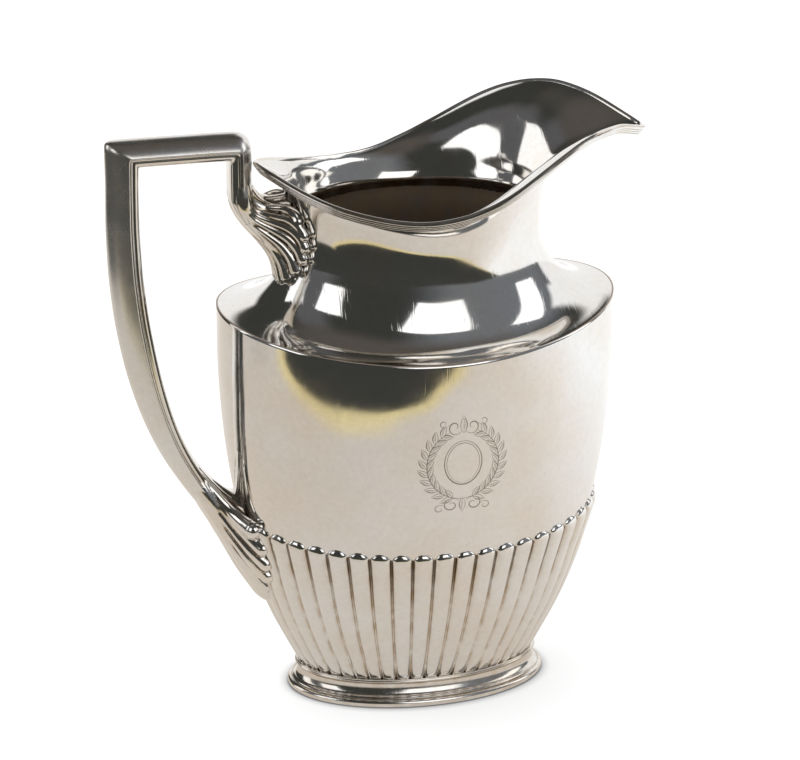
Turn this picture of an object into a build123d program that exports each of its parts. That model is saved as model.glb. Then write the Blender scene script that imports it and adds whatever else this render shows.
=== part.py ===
"""Silver water pitcher: oval fluted body, ridged shoulder, reeded lip, hollow squared handle.

Frame: millimetres, +Z up, the table plane at z = 0 and the origin at the centre of the oval foot.
+X points along the pouring lip, the handle stands at -X, and the plane y = 0 is the mirror plane.
"""
from build123d import *
from math import atan2, cos, pi, radians, sin, sqrt
import os

os.makedirs("parts", exist_ok=True)

# ------------------------------------------------------------------ overall dimensions
FOOT_HEIGHT = 11.0
FOOT_A, FOOT_B = 52.0, 31.9
FLUTES = 46
FLUTE_TOP = 78.0
WALL = 1.2
RIDGE_A, RIDGE_B = 78.0, 57.4
RIDGE_LOW, RIDGE_RISE = 155.6, 7.6      # the ridge dips at the sides and rises at both ends
WAIST_A, WAIST_B, WAIST_Z = 48.4, 37.0, 191.0
HANDLE_HALF = 8.5

# half length of the body (x) at each height, measured on the crests of the flutes
BODY_Z = (11.0, 20.0, 30.0, 40.0, 53.0, 66.0, 75.0, 86.0, 99.0, 118.0, 140.0, 170.0)
BODY_A = (48.0, 52.3, 57.4, 61.6, 65.8, 68.8, 70.6, 72.6, 74.7, 76.8, 78.0, 78.0)
RATIO_Z = (11.0, 25.0, 40.0, 73.0, 110.0, 160.0, 180.0)
RATIO_V = (0.610, 0.655, 0.695, 0.740, 0.740, 0.736, 0.736)

# the rim, from the tip of the lip round to the handle: heading, radius, height
RIM_ANGLE = (0.0, 5.5, 14.5, 27.0, 36.3, 45.8, 53.7, 61.5, 68.7, 79.9, 91.8, 100.8, 110.5,
             125.5, 139.7, 149.4, 158.6, 167.7, 175.0, 180.0)
RIM_RADIUS = (89.0, 84.2, 77.9, 71.6, 67.4, 64.2, 61.4, 58.8, 56.0, 51.6, 47.6, 45.4, 44.2,
              44.6, 47.2, 49.7, 52.8, 56.6, 60.8, 62.0)
RIM_HEIGHT = (224.4, 227.6, 231.8, 234.2, 232.6, 229.0, 224.6, 219.7, 215.5, 210.8, 208.0, 207.1,
              207.1, 208.2, 210.2, 212.1, 214.6, 217.4, 219.9, 220.6)


def blend(value, xs, ys):
    """Smooth monotone interpolation through a short list of measured stations."""
    count = len(xs)
    if value <= xs[0]:
        return ys[0]
    if value >= xs[-1]:
        return ys[-1]
    slopes = [(ys[i + 1] - ys[i]) / (xs[i + 1] - xs[i]) for i in range(count - 1)]
    tangents = [slopes[0]]
    for i in range(1, count - 1):
        if slopes[i - 1] * slopes[i] <= 0:
            tangents.append(0.0)
        else:
            tangents.append(2 * slopes[i - 1] * slopes[i] / (slopes[i - 1] + slopes[i]))
    tangents.append(slopes[-1])
    i = max(k for k in range(count - 1) if xs[k] <= value)
    h = xs[i + 1] - xs[i]
    s = (value - xs[i]) / h
    return ((2 * s ** 3 - 3 * s ** 2 + 1) * ys[i] + (s ** 3 - 2 * s ** 2 + s) * h * tangents[i]
            + (3 * s ** 2 - 2 * s ** 3) * ys[i + 1] + (s ** 3 - s ** 2) * h * tangents[i + 1])


def body_a(z):
    return blend(z, BODY_Z, BODY_A)


def body_b(z):
    return body_a(z) * blend(z, RATIO_Z, RATIO_V)


def oval_radius(a, b, heading):
    """Distance from the axis to an ellipse a x b along a heading."""
    return a * b / sqrt((b * cos(heading)) ** 2 + (a * sin(heading)) ** 2)


# equal steps of arc length round the shoulder of the flutes, as ellipse parameters
def flute_stations(count):
    fine = 4000
    a, b = body_a(70.0), body_b(70.0)
    total = [0.0]
    for i in range(fine):
        t = 2 * pi * (i + 0.5) / fine
        total.append(total[-1] + sqrt((a * sin(t)) ** 2 + (b * cos(t)) ** 2) * 2 * pi / fine)
    stations = []
    j = 0
    for k in range(count):
        goal = total[-1] * k / count
        while total[j + 1] < goal:
            j += 1
        stations.append(2 * pi * (j + (goal - total[j]) / (total[j + 1] - total[j])) / fine)
    return stations


VALLEYS = flute_stations(FLUTES)
CRESTS = [v + ((VALLEYS + [2 * pi])[i + 1] - v) / 2 for i, v in enumerate(VALLEYS)]


def fluted_point(z, t, depth):
    a, b = body_a(z) - depth, body_b(z) - depth
    return (a * cos(t), b * sin(t))


# ------------------------------------------------------------------ fluted body
# valley depth and crest depth below the plain surface at each height
FLUTE_SECTIONS = ((11.0, 1.5, 0.5), (14.0, 1.6, 0.0), (24.0, 1.8, -0.1), (38.0, 2.0, -0.1),
                  (54.0, 2.1, -0.1), (66.0, 2.2, -0.2), (71.0, 2.1, -0.3), (74.5, 1.4, -0.3),
                  (76.6, 0.7, -0.1), (FLUTE_TOP, 0.0, 0.0))


def oval_wire(z, valley, crest):
    """Closed outline of the body at one height, one arc for each flute."""
    with BuildSketch(Plane.XY.offset(z)) as outline:
        with BuildLine():
            for k in range(FLUTES):
                start = fluted_point(z, VALLEYS[k], valley)
                middle = fluted_point(z, CRESTS[k], crest)
                end = fluted_point(z, VALLEYS[(k + 1) % FLUTES], valley)
                ThreePointArc(start, middle, end)
        make_face()
    return outline.sketch


def below_ridge(top):
    """Solid between the table and the dipping ridge line."""
    with BuildPart() as keep:
        with BuildSketch(Plane.XZ):
            with BuildLine():
                curve = [(x, RIDGE_LOW + RIDGE_RISE * (x / RIDGE_A) ** 2) for x in range(-100, 101, 20)]
                Spline(curve)
                Polyline(curve[-1], (100, top), (-100, top), curve[0])
            make_face()
        extrude(amount=100, both=True)
    return keep.part


above_ridge = below_ridge(300.0)
under_ridge = below_ridge(-40.0)

with BuildPart() as vessel_outside:
    loft([oval_wire(*section) for section in FLUTE_SECTIONS])
    loft([oval_wire(z, 0.0, 0.0) for z in (FLUTE_TOP, 90.0, 105.0, 125.0, 145.0, 168.0)])

with BuildPart() as vessel_inside:
    for z in (12.6, 20.0, 30.0, 40.0, 50.0, 60.0, 70.0, 80.0, 95.0, 110.0, 125.0, 140.0, 155.0, 170.0):
        skin = WALL + 2.0 * min(1.0, max(0.0, (84.0 - z) / 16.0))
        with BuildSketch(Plane.XY.offset(z)):
            Ellipse(body_a(z) - skin, body_b(z) - skin)
    loft()

with BuildPart() as body_shell:
    add(vessel_outside.part)
    add(vessel_inside.part, mode=Mode.SUBTRACT)
    add(above_ridge, mode=Mode.SUBTRACT)
body_shell.part.label = "body_shell"
export_step(body_shell.part, "parts/body_shell.step")

# ------------------------------------------------------------------ shoulder, neck and lip
HEADINGS = (0, 4, 9, 16, 24, 33, 42, 52, 62, 73, 85, 97, 110, 124, 138, 150, 160, 168, 174, 180)
LIP_SKIN = 1.1
RIM_RAISE = 1.7


def rim_at(degrees):
    return blend(degrees, RIM_ANGLE, RIM_RADIUS), blend(degrees, RIM_ANGLE, RIM_HEIGHT)


def ridge_at(degrees):
    heading = radians(degrees)
    r = oval_radius(RIDGE_A, RIDGE_B, heading)
    return r, RIDGE_LOW + RIDGE_RISE * (r * cos(heading) / RIDGE_A) ** 2


def waist_at(degrees):
    return oval_radius(WAIST_A, WAIST_B, radians(degrees))


def flare(degrees, s):
    """Point on the outside of the lip: s = 0 at the waist, 1 at the rim."""
    r0, z0 = waist_at(degrees), WAIST_Z
    r1, z1 = rim_at(degrees)
    front = max(0.0, cos(radians(degrees))) ** 2
    power = 2.0 + 0.9 * front
    swing = s * radians(84 - 6 * front)
    across = 1 - max(cos(swing), 0.0) ** (2 / power)
    along = sin(swing) ** (2 / power)
    last = radians(84 - 6 * front)
    full_across = 1 - cos(last) ** (2 / power)
    full_along = sin(last) ** (2 / power)
    return r0 + (r1 - r0) * across / full_across, z0 + (z1 - z0) * along / full_along


def cove(degrees, s):
    """Point on the outside of the shoulder: s = 0 at the ridge, 1 at the waist."""
    r0, z0 = ridge_at(degrees)
    r1, z1 = waist_at(degrees), WAIST_Z
    swing = s * pi / 2
    across = sin(swing) ** 1.04
    along = 1 - cos(swing) ** 0.92
    return r0 + (r1 - r0) * across, z0 + (z1 - z0) * along


def heading_plane(degrees):
    a = radians(degrees)
    return Plane(origin=(0, 0, 0), x_dir=(cos(a), sin(a), 0), z_dir=(sin(a), -cos(a), 0))


def offset_points(points, skin):
    """The same profile moved inwards, square to itself, by the thickness of the metal."""
    moved = []
    for i, (r, z) in enumerate(points):
        before, after = points[max(i - 1, 0)], points[min(i + 1, len(points) - 1)]
        dr, dz = after[0] - before[0], after[1] - before[1]
        size = sqrt(dr * dr + dz * dz)
        moved.append((r - skin * dz / size, z + skin * dr / size))
    return moved


def neck_profile(degrees):
    points = [cove(degrees, s) for s in (0.0, 0.16, 0.32, 0.5, 0.68, 0.85)]
    points += [flare(degrees, s) for s in (0.0, 0.18, 0.36, 0.55, 0.75, 0.9, 1.0)]
    return points


with BuildPart() as shoulder_neck:
    for degrees in HEADINGS:
        outside = neck_profile(degrees)
        inside = offset_points(outside, LIP_SKIN)
        drop = (outside[0][0], outside[0][1] - 3.0)
        drop_inside = (drop[0] - WALL, drop[1])
        inside[0] = (drop[0] - WALL, inside[0][1])
        with BuildSketch(heading_plane(degrees)):
            with BuildLine():
                Line(drop, outside[0])
                Spline(outside)
                Line(outside[-1], inside[-1])
                Spline(inside[::-1])
                Line(inside[0], drop_inside)
                Line(drop_inside, drop)
            make_face()
    loft()
    mirror(about=Plane.XZ)
    add(under_ridge, mode=Mode.SUBTRACT)
shoulder_neck.part.label = "shoulder_neck"
export_step(shoulder_neck.part, "parts/shoulder_neck.step")

# ------------------------------------------------------------------ reeded moulding round the rim
with BuildPart() as rim_moulding:
    for degrees in HEADINGS:
        r, z = rim_at(degrees)
        with BuildSketch(heading_plane(degrees)):
            with BuildLine():
                outer = ((r + 0.5, z + RIM_RAISE), (r + 0.9, z + 0.5), (r + 0.9, z - 0.8),
                         (r + 0.4, z - 2.2))
                for low, high in zip(outer[:-1], outer[1:]):
                    middle = ((low[0] + high[0]) / 2 + 0.6, (low[1] + high[1]) / 2)
                    ThreePointArc(low, middle, high)
                Polyline(outer[-1], (r - 1.9, z - 2.2), (r - 1.9, z + RIM_RAISE), outer[0])
            make_face()
    loft()
    mirror(about=Plane.XZ)
    add(shoulder_neck.part, mode=Mode.SUBTRACT)
rim_moulding.part.label = "rim_moulding"
export_step(rim_moulding.part, "parts/rim_moulding.step")

# ------------------------------------------------------------------ moulded foot ring
# height and inset of the outline from the widest oval of the foot
FOOT_OUTLINE = ((0.0, 0.9), (0.5, 0.2), (1.4, 0.0), (2.4, 0.2), (3.1, 0.9), (3.5, 1.9), (4.3, 3.3),
                (5.6, 4.4), (7.4, 4.8), (8.9, 4.3), (9.2, 3.3), (10.2, 2.9), (FOOT_HEIGHT, 3.3))
with BuildPart() as foot_inside:
    for z, inset in ((-1.0, 5.6), (3.0, 6.6), (6.0, 7.4), (FOOT_HEIGHT + 1.0, 7.8)):
        with BuildSketch(Plane.XY.offset(z)):
            Ellipse(FOOT_A - inset, FOOT_B - inset)
    loft()

with BuildPart() as foot_ring:
    for z, inset in FOOT_OUTLINE:
        with BuildSketch(Plane.XY.offset(z)):
            Ellipse(FOOT_A - inset, FOOT_B - inset)
    loft(ruled=True)
    add(foot_inside.part, mode=Mode.SUBTRACT)
foot_ring.part.label = "foot_ring"
export_step(foot_ring.part, "parts/foot_ring.step")

# ------------------------------------------------------------------ handle
# The handle is an outer crowned channel closed by an inner moulded strip. Each station gives the
# seam between the two (x, z), the depth of the channel outside it and of the strip inside it.
HALF = 8.5
GRIP = ((-82.0, 84.6, 6.0, 3.0), (-86.6, 92.2, 6.2, 3.0), (-91.4, 100.4, 6.6, 3.0),
        (-95.9, 109.3, 7.1, 3.2), (-99.9, 120.1, 7.7, 3.4), (-103.1, 131.0, 8.3, 3.7),
        (-106.0, 143.6, 8.8, 3.9), (-109.2, 162.0, 9.0, 4.0), (-111.2, 181.0, 8.9, 4.0),
        (-112.0, 200.0, 8.6, 4.0), (-111.9, 217.0, 8.3, 4.0))
SEAM_LEFT = (-111.7, 229.1)
SEAM_RIGHT = (-68.8, 229.0)
BAR_DEPTH, BAR_STRIP = 4.2, 4.5
LEG_DEPTH, LEG_STRIP = 4.8, 4.3
LEG_END = 208.5


def travel_plane(x, z, degrees):
    """Plane square to the handle: local x across it, local y away from the hand space."""
    a = radians(degrees)
    return Plane(origin=(x, 0, z), x_dir=(0, 1, 0), z_dir=(cos(a), 0, sin(a)))


def corner_plane(corner, dx, dz):
    """Plane through a corner of the seam; local y points along (dx, dz)."""
    return Plane(origin=(corner[0], 0, corner[1]), x_dir=(0, 1, 0), z_dir=(dz, 0, -dx))


def crown_face(plane, depth, inset=0.0):
    """Crowned outline of the outer channel, flat along the seam."""
    h, w = depth - inset, HALF - inset
    with BuildSketch(plane) as face:
        with BuildLine():
            Spline([(-w, 0), (-w * 0.985, h * 0.34), (-w * 0.84, h * 0.72), (-w * 0.5, h * 0.93), (0, h),
                    (w * 0.5, h * 0.93), (w * 0.84, h * 0.72), (w * 0.985, h * 0.34), (w, 0)])
            Line((w, 0), (-w, 0))
        make_face()
    return face.sketch


def strip_face(plane, depth):
    """Outline of the inner strip: square fillet beside the seam, rounded face to the hand."""
    w = HALF - 1.2
    with BuildSketch(plane) as face:
        with BuildLine():
            Polyline((-w, -depth * 0.3), (-w, 0), (w, 0), (w, -depth * 0.3))
            Spline([(w, -depth * 0.3), (w * 0.97, -depth * 0.62), (w * 0.82, -depth * 0.93),
                    (w * 0.4, -depth), (-w * 0.4, -depth), (-w * 0.82, -depth * 0.93),
                    (-w * 0.97, -depth * 0.62), (-w, -depth * 0.3)])
        make_face()
    return face.sketch


def grip_at(z):
    """Seam position and the two depths at a height on the grip."""
    heights = [row[1] for row in GRIP]
    return [blend(z, heights, [row[i] for row in GRIP]) for i in (0, 2, 3)]


def grip_planes():
    found = []
    first, last, count = GRIP[1][1], GRIP[-1][1], 26
    for i in range(count):
        z = first + (last - first) * i / (count - 1)
        x, outer, inner = grip_at(z)
        ahead, behind = grip_at(min(z + 1.5, last))[0], grip_at(z - 1.5)[0]
        run = min(z + 1.5, last) - z + 1.5
        found.append((travel_plane(x, z, atan2(run, ahead - behind) * 180 / pi), outer, inner))
    return found


GRIP_PLANES = grip_planes()
left_mitre = corner_plane(SEAM_LEFT, -8.6, BAR_DEPTH)
left_mitre_depth = sqrt(8.6 ** 2 + BAR_DEPTH ** 2)
left_inner = corner_plane(SEAM_LEFT, -4.0, BAR_STRIP)
left_inner_depth = sqrt(4.0 ** 2 + BAR_STRIP ** 2)
right_inner = corner_plane(SEAM_RIGHT, LEG_STRIP, BAR_STRIP)
right_inner_depth = sqrt(LEG_STRIP ** 2 + BAR_STRIP ** 2)
BAR_X = (-100.0, -88.0, -78.0)


def outer_run(inset):
    """Faces of the channel: up the grip to the mitre, then along the bar and down the leg."""
    up = [crown_face(plane, outer, inset) for plane, outer, inner in GRIP_PLANES]
    corner = crown_face(left_mitre, left_mitre_depth, inset)
    over = [crown_face(travel_plane(x, 229.15, 0), BAR_DEPTH, inset) for x in BAR_X]
    for degrees, depth in ((0, 4.2), (-22, 4.9), (-45, 5.3), (-68, 5.1), (-90, LEG_DEPTH)):
        turn = radians(degrees)
        x = SEAM_RIGHT[0] - 1.2 * (1 + sin(turn))
        z = SEAM_RIGHT[1] - 1.2 * (1 - cos(turn))
        over.append(crown_face(travel_plane(x, z, degrees), depth, inset))
    over.append(crown_face(travel_plane(SEAM_RIGHT[0], LEG_END, -90), LEG_DEPTH, inset))
    return up + [corner], [corner] + over


with BuildPart() as handle_hollow:
    grip_faces, bar_faces = outer_run(1.2)
    loft(grip_faces, ruled=True)
    loft(bar_faces, ruled=True)

with BuildPart() as handle_outer:
    grip_faces, bar_faces = outer_run(0.0)
    loft(grip_faces, ruled=True)
    loft(bar_faces, ruled=True)
    add(handle_hollow.part, mode=Mode.SUBTRACT)
handle_outer.part.label = "handle_outer"
export_step(handle_outer.part, "parts/handle_outer.step")

with BuildPart() as handle_inner:
    corner = strip_face(left_inner, left_inner_depth)
    turn = strip_face(right_inner, right_inner_depth)
    loft([strip_face(plane, inner) for plane, outer, inner in GRIP_PLANES] + [corner], ruled=True)
    loft([corner] + [strip_face(travel_plane(x, 229.15, 0), BAR_STRIP) for x in BAR_X] + [turn],
         ruled=True)
    loft([turn, strip_face(travel_plane(SEAM_RIGHT[0], LEG_END, -90), LEG_STRIP)], ruled=True)
    add(handle_outer.part, mode=Mode.SUBTRACT)
handle_inner.part.label = "handle_inner"
export_step(handle_inner.part, "parts/handle_inner.step")

# ------------------------------------------------------------------ cast terminals
# Each terminal is a spray of rounded reeds that leaves the handle and opens on the body.


def along(start, lean, end, s):
    """Point on a quadratic curve."""
    return tuple((1 - s) ** 2 * a + 2 * s * (1 - s) * b + s * s * c for a, b, c in zip(start, lean, end))


def reed(start, lean, end, thin, thick):
    """One tapering reed with a round tip."""
    with BuildPart() as bar:
        for s in (0.0, 0.35, 0.7, 1.0):
            here = along(start, lean, end, s)
            ahead = along(start, lean, end, s + 0.01)
            behind = along(start, lean, end, s - 0.01)
            heading = tuple(a - b for a, b in zip(ahead, behind))
            with BuildSketch(Plane(origin=here, x_dir=(0, 1, 0.001), z_dir=heading)):
                Circle(thin + (thick - thin) * s)
        loft(ruled=True)
        with Locations(end):
            Sphere(thick * 1.06)
    return bar.part


def spray(reeds, core):
    with BuildPart() as cluster:
        for plane, width, height in core:
            with BuildSketch(plane):
                Ellipse(width, height)
        loft()
        for start, lean, end, thin, thick in reeds:
            add(reed(start, lean, end, thin, thick))
            if abs(end[1]) > 0.1:
                flip = [(p[0], -p[1], p[2]) for p in (start, lean, end)]
                add(reed(flip[0], flip[1], flip[2], thin, thick))
    return cluster.part


LOWER_REEDS = (((-91.2, 0.0, 92.0), (-78.0, 0.0, 66.0), (-63.0, 0.0, 42.0), 2.6, 3.4),
               ((-90.2, 3.6, 92.4), (-77.0, 6.0, 68.0), (-62.4, 9.5, 47.5), 2.2, 3.4),
               ((-88.4, 6.2, 92.6), (-77.0, 9.5, 70.0), (-62.6, 14.2, 54.5), 1.9, 3.3),
               ((-86.4, 7.0, 92.4), (-77.0, 12.0, 74.0), (-63.4, 17.6, 62.5), 1.7, 3.3),
               ((-84.4, 6.6, 91.6), (-77.0, 12.0, 79.0), (-65.0, 19.6, 70.5), 1.6, 3.1),
               ((-82.6, 5.6, 90.6), (-76.0, 12.0, 83.5), (-66.8, 20.0, 78.0), 1.5, 2.8))
LOWER_CORE = ((travel_plane(-86.4, 92.0, -58), 7.6, 3.8), (travel_plane(-80.0, 80.0, -58), 9.6, 6.0),
              (travel_plane(-72.0, 66.0, -62), 12.5, 8.0), (travel_plane(-62.0, 48.0, -62), 10.0, 5.0))
UPPER_REEDS = (((-69.6, 3.0, 206.5), (-67.0, 3.0, 190.0), (-53.0, 2.4, 179.0), 1.9, 2.3),
               ((-68.4, 5.4, 206.5), (-64.5, 6.0, 192.0), (-49.6, 7.2, 181.4), 1.8, 2.4),
               ((-67.2, 6.4, 206.8), (-62.5, 8.0, 195.0), (-47.2, 10.8, 185.6), 1.7, 2.4),
               ((-66.0, 6.2, 207.2), (-60.0, 9.0, 198.0), (-46.0, 12.6, 190.6), 1.6, 2.4),
               ((-65.0, 5.4, 207.6), (-58.5, 9.0, 201.5), (-46.4, 12.8, 195.8), 1.5, 2.3),
               ((-64.2, 4.2, 208.0), (-57.5, 7.6, 204.5), (-48.0, 11.0, 200.6), 1.5, 2.1),
               ((-64.0, 2.4, 208.0), (-57.5, 4.4, 206.0), (-50.0, 7.0, 204.0), 1.4, 1.9))
UPPER_CORE = ((travel_plane(-68.8, 206.0, -90), 6.4, 3.8), (travel_plane(-66.5, 200.0, -75), 6.6, 4.6),
              (travel_plane(-60.0, 195.0, -30), 8.6, 8.6), (travel_plane(-48.0, 192.5, 0), 9.0, 10.5))

with BuildPart() as above_lower:
    with BuildSketch(GRIP_PLANES[0][0]):
        Rectangle(80, 80)
    extrude(amount=60)

with BuildPart() as lower_terminal:
    add(spray(LOWER_REEDS, LOWER_CORE))
    add(above_lower.part, mode=Mode.SUBTRACT)
    add(vessel_outside.part, mode=Mode.SUBTRACT)
lower_terminal.part.label = "lower_terminal"
export_step(lower_terminal.part, "parts/lower_terminal.step")

with BuildPart() as above_upper:
    with BuildSketch(Plane.XY.offset(LEG_END)):
        with Locations((-66.0, 0.0)):
            Rectangle(18, 30)
    extrude(amount=20)

with BuildPart() as upper_terminal:
    add(spray(UPPER_REEDS, UPPER_CORE))
    add(above_upper.part, mode=Mode.SUBTRACT)
    add(shoulder_neck.part, mode=Mode.SUBTRACT)
    largest = upper_terminal.solids().sort_by(SortBy.VOLUME)[-1]
    add(largest, mode=Mode.REPLACE)
upper_terminal.part.label = "upper_terminal"
export_step(upper_terminal.part, "parts/upper_terminal.step")
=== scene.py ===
"""Silver water pitcher: the looks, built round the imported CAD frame.

Shapes are worked out in millimetres and become metres where a mesh is made. +X points along the
lip, the handle stands at -X, +Z is up, and y = 0 is the mirror plane.
"""
import math

import bpy
import numpy as np
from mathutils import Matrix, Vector


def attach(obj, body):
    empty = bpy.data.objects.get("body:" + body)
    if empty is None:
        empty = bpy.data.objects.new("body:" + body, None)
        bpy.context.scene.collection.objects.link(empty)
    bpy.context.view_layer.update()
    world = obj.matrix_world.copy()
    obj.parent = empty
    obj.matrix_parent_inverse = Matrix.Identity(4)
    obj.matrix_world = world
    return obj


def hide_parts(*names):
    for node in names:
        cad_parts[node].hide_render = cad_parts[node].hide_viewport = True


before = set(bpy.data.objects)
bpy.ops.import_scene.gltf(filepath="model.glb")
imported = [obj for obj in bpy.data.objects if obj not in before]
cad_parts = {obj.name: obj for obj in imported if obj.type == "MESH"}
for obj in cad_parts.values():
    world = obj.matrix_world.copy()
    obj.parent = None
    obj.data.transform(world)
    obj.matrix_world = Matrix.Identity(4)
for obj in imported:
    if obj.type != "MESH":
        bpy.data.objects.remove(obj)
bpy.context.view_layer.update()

MM = 0.001

# --------------------------------- driving dimensions, as in the CAD
FOOT_HEIGHT = 11.0
FOOT_A, FOOT_B = 52.0, 31.9
FLUTES = 46
WALL = 1.2
RIDGE_A, RIDGE_B = 78.0, 57.4
RIDGE_LOW, RIDGE_RISE = 155.6, 7.6
WAIST_A, WAIST_B, WAIST_Z = 48.4, 37.0, 191.0
LIP_SKIN = 1.1
BODY_Z = (11.0, 20.0, 30.0, 40.0, 53.0, 66.0, 75.0, 86.0, 99.0, 118.0, 140.0, 170.0)
BODY_A = (48.0, 52.3, 57.4, 61.6, 65.8, 68.8, 70.6, 72.6, 74.7, 76.8, 78.0, 78.0)
RATIO_Z = (11.0, 25.0, 40.0, 73.0, 110.0, 160.0, 180.0)
RATIO_V = (0.610, 0.655, 0.695, 0.740, 0.740, 0.736, 0.736)
RIM_ANGLE = (0.0, 5.5, 14.5, 27.0, 36.3, 45.8, 53.7, 61.5, 68.7, 79.9, 91.8, 100.8, 110.5,
             125.5, 139.7, 149.4, 158.6, 167.7, 175.0, 180.0)
RIM_RADIUS = (92.8, 85.0, 77.9, 71.6, 67.4, 64.2, 61.4, 58.8, 56.0, 51.6, 47.6, 45.4, 44.2,
              44.6, 47.2, 49.7, 52.8, 56.6, 61.0, 63.6)
RIM_HEIGHT = (222.6, 226.8, 231.8, 234.2, 232.6, 229.0, 224.6, 219.7, 215.5, 210.8, 208.0, 207.1,
              207.1, 208.2, 210.2, 212.1, 214.6, 217.4, 219.9, 220.6)


# --------------------------------- small tools
def soften(rows, sigma, edges="straight"):
    """Gaussian smoothing along the first axis, sigma in rows."""
    reach = max(1, int(4 * sigma))
    kernel = np.exp(-0.5 * (np.arange(-reach, reach + 1) / sigma) ** 2)
    kernel /= kernel.sum()
    pads = [(reach, reach)] + [(0, 0)] * (rows.ndim - 1)
    if edges == "wrap":
        padded = np.pad(rows, pads, mode="wrap")
    elif edges == "mirror":
        padded = np.pad(rows, pads, mode="reflect")
    else:
        padded = np.pad(rows, pads, mode="reflect", reflect_type="odd")
    return sum(k * padded[i:i + len(rows)] for i, k in enumerate(kernel))


def soft_curve(stations, values, sigma, edges="straight"):
    """A function that runs smoothly through a short list of stations."""
    fine = np.linspace(stations[0], stations[-1], 2001)
    soft = soften(np.interp(fine, stations, values), sigma / (fine[1] - fine[0]), edges)
    return lambda at: np.interp(at, fine, soft)


def smooth_step(low, high, value):
    """0 at low, 1 at high, eased at both ends; low may be the larger."""
    s = np.clip((value - low) / (high - low), 0.0, 1.0)
    return s * s * (3 - 2 * s)


def unit(vectors):
    return vectors / np.linalg.norm(vectors, axis=-1, keepdims=True)


def handwork(points):
    """The slight unevenness of raised sheet: points (mm) moved a few hundredths along their heading."""
    x, y, z = points[..., 0], points[..., 1], points[..., 2]
    wave = (np.sin(0.093 * x + 0.061 * z + 1.3) * np.sin(0.11 * y - 0.047 * z + 0.4)
            + 0.6 * np.sin(0.17 * x - 0.13 * y + 2.2) * np.sin(0.151 * z + 0.09 * x)
            + 0.35 * np.sin(0.31 * z + 0.19 * x + 0.23 * y))
    reach = np.sqrt(x * x + y * y) + 1e-6
    moved = points.copy()
    moved[..., 0] += 0.045 * wave * x / reach
    moved[..., 1] += 0.045 * wave * y / reach
    return moved


def add_mesh(name, points, faces, node, slot, materials, face_material=None, recess=None):
    """A smooth mesh object that stands for a CAD node."""
    mesh = bpy.data.meshes.new(name)
    mesh.from_pydata((points * MM).tolist(), [], faces)
    mesh.validate()
    piece = bpy.data.objects.new(name, mesh)
    bpy.context.scene.collection.objects.link(piece)
    for material in materials:
        mesh.materials.append(material)
    mesh.polygons.foreach_set("use_smooth", [True] * len(mesh.polygons))
    if face_material is not None:
        mesh.polygons.foreach_set("material_index", face_material)
    if recess is not None:
        layer = mesh.attributes.new("recess", "FLOAT", "POINT")
        layer.data.foreach_set("value", np.asarray(recess, np.float32).ravel())
    mesh.update()
    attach(piece, "root")
    if node:
        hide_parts(node)


def grid_faces(rows, columns, wrap_columns=True, wrap_rows=False):
    """Quads over a grid of points, facing outwards for rows that rise and columns that turn left."""
    index = np.arange(rows * columns).reshape(rows, columns)
    right = np.roll(index, -1, axis=1)
    above = np.roll(index, -1, axis=0)
    corner = np.roll(right, -1, axis=0)
    quads = np.stack([index, right, corner, above], axis=-1)
    if not wrap_rows:
        quads = quads[:-1]
    if not wrap_columns:
        quads = quads[:, :-1]
    return quads.reshape(-1, 4).tolist()


# --------------------------------- materials
def node_tools(tree):
    """Short ways to add shader nodes. Where an input is wanted, a number or a node's output will do."""
    def add(kind, **settings):
        node = tree.nodes.new(kind)
        for key, value in settings.items():
            if key in node.inputs:
                node.inputs[key].default_value = value
            else:
                setattr(node, key, value)
        return node

    def join(out, into):
        tree.links.new(out, into)

    def feed(value, into):
        if isinstance(value, bpy.types.NodeSocket):
            join(value, into)
        else:
            into.default_value = value

    def ranged(value, low, high, to_low=0.0, to_high=1.0, ease="LINEAR"):
        """The value rescaled from low..high to to_low..to_high and held at the ends."""
        node = add("ShaderNodeMapRange", interpolation_type=ease)
        for key, number in (("Value", value), ("From Min", low), ("From Max", high),
                            ("To Min", to_low), ("To Max", to_high)):
            feed(number, node.inputs[key])
        return node.outputs[0]

    def maths(operation, *values):
        node = add("ShaderNodeMath", operation=operation)
        for value, into in zip(values, node.inputs):
            feed(value, into)
        return node.outputs[0]

    def blended(first, second, share, blend_type="MIX"):
        """A colour on the way from first to second."""
        node = add("ShaderNodeMix", data_type="RGBA", blend_type=blend_type)
        for key, value in (("A", first), ("B", second), ("Factor", share)):
            feed(value, node.inputs[key])
        return node.outputs["Result"]

    def layered(share, under, over):
        """The shader under, covered by the shader over to the given share."""
        node = add("ShaderNodeMixShader")
        for value, into in zip((share, under, over), node.inputs):
            feed(value, into)
        return node.outputs[0]
    return add, join, ranged, maths, blended, layered


def blank_nodes(owner):
    """Switches on a material's or world's nodes, clears them and hands back the tools."""
    owner.use_nodes = True
    owner.node_tree.nodes.clear()
    return node_tools(owner.node_tree)


def opaque(colour):
    return (*colour, 1.0)


WARM_FILM = (0.95, 0.885, 0.80)   # what thin tarnish takes from the colour of the metal
GOLDEN_FILM = (0.46, 0.33, 0.19)
BLACK_TARNISH_AND_SHADE = (0.075, 0.058, 0.045)
GRIME_AND_SHADE_START = 0.66                # recess from which the colour turns black: black tarnish, and painted shade where a recess stands for shade
HAIRLINE = 0.00002                # m, depth of a scratch


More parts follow.
